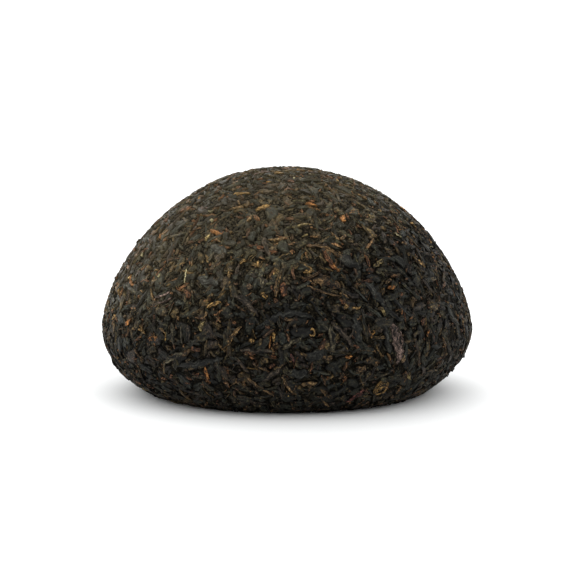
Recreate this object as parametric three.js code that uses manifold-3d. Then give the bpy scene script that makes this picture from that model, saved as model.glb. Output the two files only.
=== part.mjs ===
// A nest of pressed ripe tea: a small domed cake of dark leaf with a hollow underneath.
//
// The cake stands on the round sole of its rim, dome upwards. Units are millimetres, +Z is up, and the
// origin is the centre of the sole, on the table. Its outline is one closed curve turned round Z: dome,
// belly, skirt, sole, lip and hollow. The leaf that is too fine to model one by one is relief on that
// body, and the largest leaves are curved strips half sunk in it, fused into the same solid.

import * as THREE from "three";
import { mergeVertices } from "three/addons/utils/BufferGeometryUtils.js";
import { ImprovedNoise } from "three/addons/math/ImprovedNoise.js";
import Module from "manifold-3d";

// The cake.
const CAKE_DIAMETER = 82;
const CAKE_HEIGHT = 49.4;
const BELLY_HEIGHT = 14;
const SOLE_DIAMETER = 61;
const SOLE_WIDTH = 4;

// The hollow that the cake is pressed with.
const MOUTH_DIAMETER = 46;
const LIP_HEIGHT = 4;
const HOLLOW_DEPTH = 27;

// Fullness of each stretch of the outline: 2 is an ellipse, more is squarer, less is more pointed.
const DOME_FULLNESS = { across: 2.04, up: 1.63 };
const SKIRT_FULLNESS = { across: 1.24, up: 1.94 };
const LIP_FULLNESS = { across: 2, up: 2 };
const HOLLOW_FULLNESS = { across: 2.1, up: 2.1 };

// Surface: the size of a facet, the swells of the whole cake and the lumps of packed leaf.
const FACET = 4.2;
const SWELL = { height: 0.5, spacing: 21 };
const LUMP = { height: 0.8, spacing: 4.7 };
const LEAF_BED_DEPTH = 0.5;
const SMOOTH_FOOT_HEIGHT = 3;

// The largest leaves: how many there are, and the range of each size.
const SEED = 27;
const OUTER_LEAVES = 208;
const HOLLOW_LEAVES = 18;
const LEAF_LENGTH = [5.5, 11];
const LEAF_WIDTH = [1.5, 2.6];
const LEAF_THICKNESS = [1, 1.5];
const LEAF_BEND = 0.035;
const LEAF_ROLL = 0.5;
const LEAF_LIFT = [0.1, 0.45];
const LEAF_SECTIONS = 2;
const PROUD_LEAF_EVERY = 13;
const PROUD_LEAF_LIFT = 0.35;
const LEAF_SIDES = 4;
const SPOT_DRIFT = 0.1;

const OUTLINE_STEPS = 240;
const FEWEST_SIDES = 6;
const GOLDEN_ANGLE = Math.PI * (3 - Math.sqrt(5));
const TABLE_BLOCK = 120;
const NEAR_ZERO = 1e-9;
const SHORTEST_LEVEL = 0.01;

const wasm = await Module();
wasm.setup();

THREE.MathUtils.seededRandom(SEED);
const random = () => THREE.MathUtils.seededRandom();
const between = ([low, high]) => THREE.MathUtils.lerp(low, high, random());
const eitherWay = (size) => between([-size, size]);
const noise = new ImprovedNoise();

// A quarter of a superellipse, from (1, 0) at t = 0 to (0, 1) at t = 1.
function quarter(t, fullness) {
  const angle = (t * Math.PI) / 2;
  return {
    across: Math.pow(Math.max(Math.cos(angle), 0), 2 / fullness.across),
    up: Math.pow(Math.sin(angle), 2 / fullness.up),
  };
}

// The stretches of the outline, each a function from t = 0 to 1 to a radius and a height.
const bellyRadius = CAKE_DIAMETER / 2 - LEAF_BED_DEPTH;
const soleRadius = SOLE_DIAMETER / 2;
const mouthRadius = MOUTH_DIAMETER / 2;
const soleInnerRadius = soleRadius - SOLE_WIDTH;

function dome(t) {
  const q = quarter(1 - t, DOME_FULLNESS);
  const rise = CAKE_HEIGHT - LEAF_BED_DEPTH - BELLY_HEIGHT;
  return new THREE.Vector2(bellyRadius * q.across, BELLY_HEIGHT + rise * q.up);
}

function skirt(t) {
  const q = quarter(t, SKIRT_FULLNESS);
  return new THREE.Vector2(
    THREE.MathUtils.lerp(soleRadius, bellyRadius, q.across),
    BELLY_HEIGHT * (1 - q.up),
  );
}

function sole(t) {
  return new THREE.Vector2(THREE.MathUtils.lerp(soleRadius, soleInnerRadius, t), 0);
}

function lip(t) {
  const q = quarter(t, LIP_FULLNESS);
  return new THREE.Vector2(
    THREE.MathUtils.lerp(soleInnerRadius, mouthRadius, q.up),
    LIP_HEIGHT * (1 - q.across),
  );
}

function hollow(t) {
  const q = quarter(t, HOLLOW_FULLNESS);
  return new THREE.Vector2(mouthRadius * q.across, THREE.MathUtils.lerp(LIP_HEIGHT, HOLLOW_DEPTH, q.up));
}

// Points along a stretch at even distances, about one facet apart.
function evenPoints(stretch) {
  const fine = [];
  for (let i = 0; i <= OUTLINE_STEPS; i++) fine.push(stretch(i / OUTLINE_STEPS));
  const reach = [0];
  for (let i = 1; i < fine.length; i++) reach.push(reach[i - 1] + fine[i].distanceTo(fine[i - 1]));
  const total = reach[OUTLINE_STEPS];
  const count = Math.max(1, Math.round(total / FACET));
  const points = [];
  for (let k = 0; k <= count; k++) {
    const wanted = (total * k) / count;
    const i = Math.max(1, reach.findIndex((value) => value >= wanted - NEAR_ZERO));
    const share = (wanted - reach[i - 1]) / (reach[i] - reach[i - 1]);
    points.push(fine[i - 1].clone().lerp(fine[i], share));
  }
  return points;
}

// The outward normal at each point of an outline, in its own plane.
function outlineNormals(points) {
  return points.map((point, i) => {
    const before = points[Math.max(i - 1, 0)];
    const after = points[Math.min(i + 1, points.length - 1)];
    const along = after.clone().sub(before).normalize();
    return new THREE.Vector2(-along.y, along.x);
  });
}

// The whole outline, from the top of the dome to the top of the hollow.
function cakeOutline() {
  const points = [];
  for (const stretch of [dome, skirt, sole, lip, hollow]) {
    const next = evenPoints(stretch);
    points.push(...(points.length ? next.slice(1) : next));
  }
  const normals = outlineNormals(points);
  normals[0].set(0, 1);
  normals[normals.length - 1].set(0, -1);
  return points.map((point, i) => ({ point, normal: normals[i] }));
}

// How far the surface stands out at a place: broad swells and leaf-sized lumps, none at the flat sole.
function reliefAt(place) {
  const swell = noise.noise(place.x / SWELL.spacing, place.y / SWELL.spacing, place.z / SWELL.spacing);
  const lump = noise.noise(place.x / LUMP.spacing, place.y / LUMP.spacing, place.z / LUMP.spacing);
  const foot = THREE.MathUtils.smoothstep(place.z, 0, SMOOTH_FOOT_HEIGHT);
  return foot * (SWELL.height * swell + LUMP.height * lump);
}

// One ring of the body: points round Z at an outline point, or one point where the outline meets Z.
function ringOf({ point, normal }, turn) {
  const onAxis = point.x < NEAR_ZERO;
  const sides = onAxis ? 1 : Math.max(FEWEST_SIDES, Math.round((2 * Math.PI * point.x) / FACET));
  const places = [];
  for (let j = 0; j < sides; j++) {
    const angle = (2 * Math.PI * (j + turn)) / sides;
    const place = new THREE.Vector3(point.x * Math.cos(angle), point.x * Math.sin(angle), point.y);
    const out = new THREE.Vector3(normal.x * Math.cos(angle), normal.x * Math.sin(angle), normal.y);
    places.push(place.addScaledVector(out, reliefAt(place)));
  }
  return { places, turn };
}

// Triangles between two neighbouring rings, each step taken on the ring that lags behind.
function stitch(upper, lower, upperStart, lowerStart, triangles) {
  const m = upper.places.length;
  const n = lower.places.length;
  let i = 0;
  let j = 0;
  while ((m > 1 && i < m) || (n > 1 && j < n)) {
    const upperNext = m > 1 ? (i + 1 + upper.turn) / m : Infinity;
    const lowerNext = n > 1 ? (j + 1 + lower.turn) / n : Infinity;
    const a = upperStart + (i % m);
    const b = lowerStart + (j % n);
    const takeUpper = m > 1 && i < m && (n === 1 || j >= n || upperNext <= lowerNext);
    if (takeUpper) {
      triangles.push(a, b, upperStart + ((i + 1) % m));
      i += 1;
    } else {
      triangles.push(a, b, lowerStart + ((j + 1) % n));
      j += 1;
    }
  }
}

// A closed mesh from points and triangles.
function meshOf(places, triangles) {
  const geometry = new THREE.BufferGeometry().setFromPoints(places);
  return geometry.setIndex(triangles);
}

// The body: rings along the outline, each stitched to the next.
function bodyGeometry() {
  const rings = cakeOutline().map((step, k) => ringOf(step, (k % 2) / 2));
  const places = [];
  const starts = [];
  for (const ring of rings) {
    starts.push(places.length);
    places.push(...ring.places);
  }
  const triangles = [];
  for (let k = 1; k < rings.length; k++) {
    stitch(rings[k - 1], rings[k], starts[k - 1], starts[k], triangles);
  }
  return meshOf(places, triangles);
}

// The part of the outline that leaves lie on, with the share of its turned area up to each point.
function leafBed(stretches) {
  const points = stretches.flatMap((stretch) => evenPoints(stretch));
  const normals = outlineNormals(points);
  const area = [0];
  for (let i = 1; i < points.length; i++) {
    const band = points[i].distanceTo(points[i - 1]) * (points[i].x + points[i - 1].x);
    area.push(area[i - 1] + band);
  }
  const total = area[area.length - 1];
  return { points, normals, shares: area.map((value) => value / total) };
}

// The place on the bed nearest to a point in space, with its outward normal.
function nearestOnBed(bed, point) {
  const here = new THREE.Vector2(Math.hypot(point.x, point.y), point.z);
  const best = { distance: Infinity };
  for (let i = 1; i < bed.points.length; i++) {
    const from = bed.points[i - 1];
    const along = bed.points[i].clone().sub(from);
    const length = along.lengthSq();
    if (length === 0) continue;
    const share = THREE.MathUtils.clamp(here.clone().sub(from).dot(along) / length, 0, 1);
    const foot = from.clone().addScaledVector(along, share);
    const distance = foot.distanceTo(here);
    if (distance < best.distance) {
      best.distance = distance;
      best.foot = foot;
      best.normal = bed.normals[i - 1].clone().lerp(bed.normals[i], share).normalize();
    }
  }
  const angle = Math.atan2(point.y, point.x);
  const turned = (v) => new THREE.Vector3(v.x * Math.cos(angle), v.x * Math.sin(angle), v.y);
  const place = turned(best.foot);
  const normal = turned(best.normal);
  return { place: place.addScaledVector(normal, reliefAt(place)), normal };
}

// The middle of the leaf of a given number: evenly spread by area and by the golden angle.
function leafSpot(bed, number, count) {
  const wanted = (number + 0.5) / count;
  const i = Math.max(1, bed.shares.findIndex((share) => share >= wanted));
  const share = (wanted - bed.shares[i - 1]) / (bed.shares[i] - bed.shares[i - 1]);
  const { x, y } = bed.points[i - 1].clone().lerp(bed.points[i], share);
  const angle = number * GOLDEN_ANGLE + eitherWay(SPOT_DRIFT);
  return nearestOnBed(bed, new THREE.Vector3(x * Math.cos(angle), x * Math.sin(angle), y));
}

// A leaf: a strip of lozenge sections that follows the bed, rolled on edge a little, pointed at both ends.
function leafGeometry(bed, spot, lift) {
  const length = between(LEAF_LENGTH);
  const width = between(LEAF_WIDTH);
  const thickness = between(LEAF_THICKNESS);
  const bend = eitherWay(LEAF_BEND);
  const roll = eitherWay(LEAF_ROLL);
  const heading = random() * Math.PI;
  const level = new THREE.Vector3(0, 0, 1).cross(spot.normal);
  if (level.length() < SHORTEST_LEVEL) level.set(1, 0, 0);
  const along = level.normalize().applyAxisAngle(spot.normal, heading);
  const beside = spot.normal.clone().cross(along);

  const places = [];
  for (let k = 0; k <= LEAF_SECTIONS + 1; k++) {
    const share = k / (LEAF_SECTIONS + 1);
    const reach = (share - 0.5) * length;
    const guess = spot.place.clone().addScaledVector(along, reach);
    guess.addScaledVector(beside, bend * reach * reach);
    const { place, normal } = nearestOnBed(bed, guess);
    const middle = place.addScaledVector(normal, lift);
    const fullness = Math.sqrt(Math.sin(Math.PI * share));
    if (k === 0 || k === LEAF_SECTIONS + 1) {
      places.push(middle);
      continue;
    }
    const flat = normal.clone().cross(along).normalize().applyAxisAngle(along, roll);
    const up = along.clone().cross(flat).normalize();
    places.push(middle.clone().addScaledVector(flat, (fullness * width) / 2));
    places.push(middle.clone().addScaledVector(up, (fullness * thickness) / 2));
    places.push(middle.clone().addScaledVector(flat, (-fullness * width) / 2));
    places.push(middle.clone().addScaledVector(up, (-fullness * thickness) / 2));
  }

  const last = places.length - 1;
  const triangles = [];
  for (let c = 0; c < LEAF_SIDES; c++) {
    const d = (c + 1) % LEAF_SIDES;
    triangles.push(0, 1 + d, 1 + c);
    for (let k = 0; k < LEAF_SECTIONS - 1; k++) {
      const near = 1 + LEAF_SIDES * k;
      const far = near + LEAF_SIDES;
      triangles.push(near + c, near + d, far + d);
      triangles.push(near + c, far + d, far + c);
    }
    triangles.push(last, last - LEAF_SIDES + c, last - LEAF_SIDES + d);
  }
  return meshOf(places, triangles);
}

// All the leaves of one bed.
function leavesOn(stretches, count) {
  const bed = leafBed(stretches);
  const leaves = [];
  for (let number = 0; number < count; number++) {
    const proud = number % PROUD_LEAF_EVERY === 0 ? PROUD_LEAF_LIFT : 0;
    leaves.push(leafGeometry(bed, leafSpot(bed, number, count), between(LEAF_LIFT) + proud));
  }
  return leaves;
}

// A closed geometry as a solid that can be joined and cut.
function solidOf(geometry) {
  const bare = geometry.clone();
  bare.deleteAttribute("normal");
  bare.deleteAttribute("uv");
  const merged = mergeVertices(bare);
  return new wasm.Manifold(
    new wasm.Mesh({
      numProp: 3,
      vertProperties: merged.attributes.position.array,
      triVerts: new Uint32Array(merged.index.array),
    }),
  );
}

// A solid as a flat-shaded geometry.
function geometryOf(solid) {
  const mesh = solid.getMesh();
  const geometry = new THREE.BufferGeometry();
  geometry.setAttribute("position", new THREE.BufferAttribute(mesh.vertProperties, mesh.numProp));
  geometry.setIndex(new THREE.BufferAttribute(mesh.triVerts, 1));
  geometry.computeVertexNormals();
  return geometry;
}

// What reaches below the table, cut away so that the sole is flat.
function tableBlock() {
  return new THREE.BoxGeometry(TABLE_BLOCK, TABLE_BLOCK, TABLE_BLOCK).translate(0, 0, -TABLE_BLOCK / 2);
}

// The cake: body and leaves in one, without the scraps that the cut leaves loose.
function cakeSolid() {
  let cake = solidOf(bodyGeometry());
  const leaves = [...leavesOn([dome, skirt], OUTER_LEAVES), ...leavesOn([lip, hollow], HOLLOW_LEAVES)];
  for (const leaf of leaves) cake = cake.add(solidOf(leaf));
  cake = cake.subtract(solidOf(tableBlock()));
  return cake.decompose().sort((a, b) => b.volume() - a.volume())[0];
}

const pressedLeaf = new THREE.MeshStandardMaterial({
  color: 0x39342b,
  roughness: 0.82,
  metalness: 0,
  flatShading: true,
});

const cake = new THREE.Mesh(geometryOf(cakeSolid()), pressedLeaf);
cake.name = "tea_cake";

const tea = new THREE.Group();
tea.add(cake);

export default tea;
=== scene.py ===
# %% [markdown]
# A nest of pressed ripe tea.
#
# The real thing is a handful of black-brown leaf, steamed soft and pressed in a cloth bag to a small
# dome with a hollow underneath. What the eye reads is its surface: thousands of flattened strips, a
# few millimetres long, packed flush like a mosaic, with narrow dark gaps between them and a brown or
# golden one here and there.
#
# One way to make that is a displaced surface with a clever texture, but its leaves would never pass
# over each other. Here every leaf is a real mesh: a few shapes are modelled once, a Geometry Nodes
# tree lays thousands of them on a smooth carrier, and bends each one to it. A dark core fills the
# gaps. All lengths are in metres, in the frame of the CAD solid.

# %% Load the frame
import math
from collections import namedtuple

import bpy
import numpy as np
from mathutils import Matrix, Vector, noise
from mathutils.bvhtree import BVHTree


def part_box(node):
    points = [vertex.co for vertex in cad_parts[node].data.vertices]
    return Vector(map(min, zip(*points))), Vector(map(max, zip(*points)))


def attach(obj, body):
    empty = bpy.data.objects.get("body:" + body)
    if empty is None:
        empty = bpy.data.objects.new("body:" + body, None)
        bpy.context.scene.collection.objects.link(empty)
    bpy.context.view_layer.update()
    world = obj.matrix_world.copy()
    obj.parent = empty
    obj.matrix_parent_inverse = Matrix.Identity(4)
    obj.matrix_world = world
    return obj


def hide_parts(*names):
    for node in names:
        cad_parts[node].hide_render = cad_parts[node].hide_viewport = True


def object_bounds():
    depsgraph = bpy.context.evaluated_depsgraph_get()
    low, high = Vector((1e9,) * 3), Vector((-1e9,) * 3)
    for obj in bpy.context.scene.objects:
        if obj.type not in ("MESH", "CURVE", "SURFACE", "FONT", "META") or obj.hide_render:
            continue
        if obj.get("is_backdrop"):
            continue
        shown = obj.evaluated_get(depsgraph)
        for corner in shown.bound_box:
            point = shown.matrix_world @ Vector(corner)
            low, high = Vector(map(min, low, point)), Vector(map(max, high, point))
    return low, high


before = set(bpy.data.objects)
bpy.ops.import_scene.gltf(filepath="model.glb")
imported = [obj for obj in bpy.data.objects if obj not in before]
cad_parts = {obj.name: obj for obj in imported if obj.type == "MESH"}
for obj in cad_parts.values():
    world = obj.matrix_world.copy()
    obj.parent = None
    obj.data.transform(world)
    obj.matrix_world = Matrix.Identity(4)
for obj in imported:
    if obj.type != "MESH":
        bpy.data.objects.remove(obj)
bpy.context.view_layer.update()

MM = 0.001
NODE = "tea_cake"

# %% [markdown]
# The photo's view. The cake's outline in the photo fits a view from half a metre away and a little
# above level. That view comes first, because it places the camera at the end and also shows where the
# leaves that one remembers lie.

# %% Where the photo was taken from
PHOTO_PX = 570
FOCAL_PX = 2254
DISTANCE = 0.5
ELEVATION = math.radians(7.6)
AIM = Vector((-0.0004, 0, 0.0231))
SIGHT = Vector((0, math.cos(ELEVATION), -math.sin(ELEVATION)))
RIGHT = Vector((1, 0, 0))
UP = RIGHT.cross(SIGHT)
EYE = AIM - SIGHT * DISTANCE
print("seen from", [round(v / MM) for v in EYE], "mm")

# %% [markdown]
# The outline. The cake was pressed round, so one outline turned about Z carries everything. It has
# five stretches: the dome, the skirt that turns in under the belly, the flat ring it stands on, the
# lip and the hollow. Each curved stretch is a quarter of a superellipse, an ellipse with two powers
# that make it fuller or more pointed. The solid's own box gives the width and the height; its
# outermost leaves stand a little proud of the outline, so that much comes off.

# %% Sizes of the cake
LEAF_PROUD = 0.3 * MM
low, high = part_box(NODE)
CAKE_RADIUS = (high[0] - low[0] + high[1] - low[1]) / 4 - LEAF_PROUD
CAKE_HEIGHT = high[2] - LEAF_PROUD
BELLY_HEIGHT = 14 * MM
SOLE_RADIUS = 30.5 * MM
SOLE_INNER_RADIUS = 26.5 * MM
MOUTH_RADIUS = 23 * MM
LIP_HEIGHT = 4 * MM
HOLLOW_DEPTH = 27 * MM
DOME_POWERS = (2.04, 1.63)
SKIRT_POWERS = (1.24, 1.94)
LIP_POWERS = (2.0, 2.0)
HOLLOW_POWERS = (2.1, 2.1)
print("radius and height", round(CAKE_RADIUS / MM, 2), round(CAKE_HEIGHT / MM, 2), "mm")


# %% The outline as points
def quarter(t, powers):
    """A quarter of a superellipse from (1, 0) to (0, 1)."""
    angle = np.clip(t, 0, 1) * math.pi / 2
    return np.maximum(np.cos(angle), 0) ** (2 / powers[0]), np.sin(angle) ** (2 / powers[1])


def outline_stretches(steps=240):
    """The five stretches from the top of the dome to the top of the hollow, as (radius, height) rows."""
    t = np.linspace(0, 1, steps)
    back = t[::-1]
    x, y = quarter(back, DOME_POWERS)
    dome = np.column_stack([CAKE_RADIUS * x, BELLY_HEIGHT + (CAKE_HEIGHT - BELLY_HEIGHT) * y])
    x, y = quarter(t, SKIRT_POWERS)
    skirt = np.column_stack([SOLE_RADIUS + (CAKE_RADIUS - SOLE_RADIUS) * x, BELLY_HEIGHT * (1 - y)])
    sole = np.column_stack([SOLE_RADIUS + (SOLE_INNER_RADIUS - SOLE_RADIUS) * t, 0 * t])
    x, y = quarter(t, LIP_POWERS)
    lip_width = MOUTH_RADIUS - SOLE_INNER_RADIUS
    lip = np.column_stack([SOLE_INNER_RADIUS + lip_width * y, LIP_HEIGHT * (1 - x)])
    x, y = quarter(t, HOLLOW_POWERS)
    hollow = np.column_stack([MOUTH_RADIUS * x, LIP_HEIGHT + (HOLLOW_DEPTH - LIP_HEIGHT) * y])
    return [dome, skirt, sole, lip, hollow]


def even_outline(facet, sink):
    """Points one facet apart along the whole outline, sunk below it by a depth, with their normals."""
    line = np.vstack([s[(i > 0):] for i, s in enumerate(outline_stretches())])
    reach = np.concatenate([[0], np.cumsum(np.linalg.norm(np.diff(line, axis=0), axis=1))])
    wanted = np.linspace(0, reach[-1], round(reach[-1] / facet) + 1)
    points = np.column_stack([np.interp(wanted, reach, line[:, k]) for k in (0, 1)])
    along = np.gradient(points, axis=0)
    along /= np.linalg.norm(along, axis=1, keepdims=True)
    normals = np.column_stack([-along[:, 1], along[:, 0]])
    normals[0], normals[-1] = (0, 1), (0, -1)
    points = points - normals * sink
    points[[0, -1], 0] = 0
    return points, normals


# %% [markdown]
# Turning the outline. Blender's Screw or Spin would give the same number of quads at the belly and at
# the pole, long at one and needle-thin at the other. Rings with as many points as their own girth
# needs keep every triangle the same size, which matters once the surface gets relief.

# %% Rings stitched to a closed surface
FEWEST_SIDES = 6


def shown(name, mesh):
    """A new object with this mesh, in the scene."""
    made = bpy.data.objects.new(name, mesh)
    bpy.context.scene.collection.objects.link(made)
    return made


def stitch(upper, lower, first_upper, first_lower, turn_upper, turn_lower):
    """Triangles between two rings, each step taken on the ring that lags behind."""
    faces, i, j = [], 0, 0
    while (upper > 1 and i < upper) or (lower > 1 and j < lower):
        next_upper = (i + 1 + turn_upper) / upper if upper > 1 and i < upper else math.inf
        next_lower = (j + 1 + turn_lower) / lower if lower > 1 and j < lower else math.inf
        a, b = first_upper + i % upper, first_lower + j % lower
        if next_upper <= next_lower:
            faces.append((a, b, first_upper + (i + 1) % upper))
            i += 1
        else:
            faces.append((a, b, first_lower + (j + 1) % lower))
            j += 1
    return faces


def turned_surface(name, facet, sink, relief=None):
    """A closed surface turned from the outline; relief(point) gives how far a place stands out."""
    points, normals = even_outline(facet, sink)
    places, faces, before = [], [], None
    for k, ((radius, height), (out, up)) in enumerate(zip(points, normals)):
        sides = 1 if k in (0, len(points) - 1) else max(FEWEST_SIDES, round(2 * math.pi * radius / facet))
        turn = (k % 2) / 2
        first = len(places)
        for angle in (np.arange(sides) + turn) * 2 * math.pi / sides:
            c, s = math.cos(angle), math.sin(angle)
            place = Vector((radius * c, radius * s, height))
            if relief:
                place += Vector((out * c, out * s, up)) * relief(place)
            places.append(place)
        if before:
            faces += stitch(before[0], sides, before[1], first, before[2], turn)
        before = (sides, first, turn)
    mesh = bpy.data.meshes.new(name)
    mesh.from_pydata(places, [], faces)
    mesh.shade_smooth()
    return shown(name, mesh)


# %% The carrier that leaves are laid on
CARRIER_FACET = 1.2 * MM
BED_SINK = 0.38 * MM
SWELL = 0.45 * MM
SWELL_SPACING = 21 * MM
SMOOTH_FOOT_HEIGHT = 3 * MM


def swell(place):
    """The cake's own unevenness: broad and shallow, none at the flat sole."""
    foot = min(max(place.z / SMOOTH_FOOT_HEIGHT, 0), 1)
    return foot * SWELL * noise.noise(place / SWELL_SPACING)


carrier = turned_surface("carrier", CARRIER_FACET, BED_SINK, swell)
print("carrier", len(carrier.data.vertices), "points")

# %% [markdown]
# Node trees as sums. A tree is easier to read as an expression than as a list of links. The small
# class below stands for a node's output and gives it plus, minus, times and over, the first three also
# with a number on the left. The other class is a tree: add takes a node's type, its settings and its
# inputs. Colours and places go through vector, spread turns one range of values into another, and
# cloud is a noise.

# %% Writing node trees
class Wire:
    """An output of a node, which can stand in a sum."""

    def __init__(self, net, node, output):
        self.net, self.node = net, node
        self.socket = node.outputs[output] if node.outputs else None

    def of(self, output):
        return Wire(self.net, self.node, output)

    def math(self, operation, a, b=0.0, clamp=False):
        return self.net.add("ShaderNodeMath", {"operation": operation, "use_clamp": clamp}, {0: a, 1: b})

    def __add__(self, other):
        return self.math("ADD", self, other)

    __radd__ = __add__

    def __sub__(self, other):
        return self.math("SUBTRACT", self, other)

    def __rsub__(self, other):
        return self.math("SUBTRACT", other, self)

    def __mul__(self, other):
        return self.math("MULTIPLY", self, other)

    __rmul__ = __mul__

    def __truediv__(self, other):
        return self.math("DIVIDE", self, other)

    def power(self, other):
        return self.math("POWER", self, other)


class Net:
    """A node tree that is written one node at a time."""

    def __init__(self, tree):
        self.tree = tree

    def add(self, kind, settings=None, values=None, output=0):
        node = self.tree.nodes.new(kind)
        for name, value in (settings or {}).items():
            setattr(node, name, value)
        for name, value in (values or {}).items():
            socket = node.inputs[name]
            if isinstance(value, Wire):
                self.tree.links.new(value.socket, socket)
            else:
                socket.default_value = value
        return Wire(self, node, output)

    def vector(self, operation, a, b=None, c=None, scale=None):
        inputs = {0: a, 1: b, 2: c, "Scale": scale}
        inputs = {name: value for name, value in inputs.items() if value is not None}
        return self.add("ShaderNodeVectorMath", {"operation": operation}, inputs)

    def spread(self, value, least, most, low=0.0, high=1.0, curve="LINEAR"):
        return self.add(
            "ShaderNodeMapRange", {"interpolation_type": curve},
            {"Value": value, "From Min": least, "From Max": most, "To Min": low, "To Max": high},
        )

    def cloud(self, where, scale, detail, roughness=0.5):
        inputs = {"Vector": where, "Scale": scale, "Detail": detail, "Roughness": roughness}
        return self.add("ShaderNodeTexNoise", {}, inputs)


def new_finish(name):
    """A new material and its tree, still empty."""
    material = bpy.data.materials.new(name)
    material.use_nodes = True
    material.node_tree.nodes.clear()
    return material, Net(material.node_tree)


# %% [markdown]
# Laying leaves. Real leaves settle in the bag by themselves; a physics run for ten thousand of them
# would take hours. The tree below does what the cloth does: it spreads points evenly on the carrier,
# puts a leaf on each, and then moves each point of each leaf to the carrier's surface plus its own
# height in the leaf. So a leaf keeps its ridges but follows the dome. Neighbours lie much the same
# way, because a handful of leaf is pushed in together, so a slow noise gives the heading and chance
# only spreads it. The press flattens what stands too high, and then a small step up or down for each
# leaf leaves one lying on another. Near the top the leaf is finer. Each leaf also gets a random tone
# for its colour and a cell of its own in a UV map, so that its finish can be baked.

# %% The tree that lays leaves
TABLE_GAP = 0.03 * MM
PRESS_SOFTNESS = 0.12 * MM
LAYERS = 0.12 * MM
FINER_FROM = 28 * MM
FINER_TOP = 0.78
EVENNESS = 0.7
CROWDING = 4.0
DRIFT_SCALE = 110.0
DRIFT_TURNS = 3.0
DRIFT_SPREAD = math.radians(45)
SHAPE_PICKS = 1000
CELL_INSET = (0.05, 0.07)
INPUTS = {
    "Carrier": "Geometry", "Leaf shapes": "Collection", "Finish": "Material",
    "Leaves per square metre": "Float", "Smallest size": "Vector", "Largest size": "Vector",
    "Lowest lift": "Float", "Highest lift": "Float", "Press height": "Float", "Cell shape": "Float",
    "Seed": "Int",
}


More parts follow.
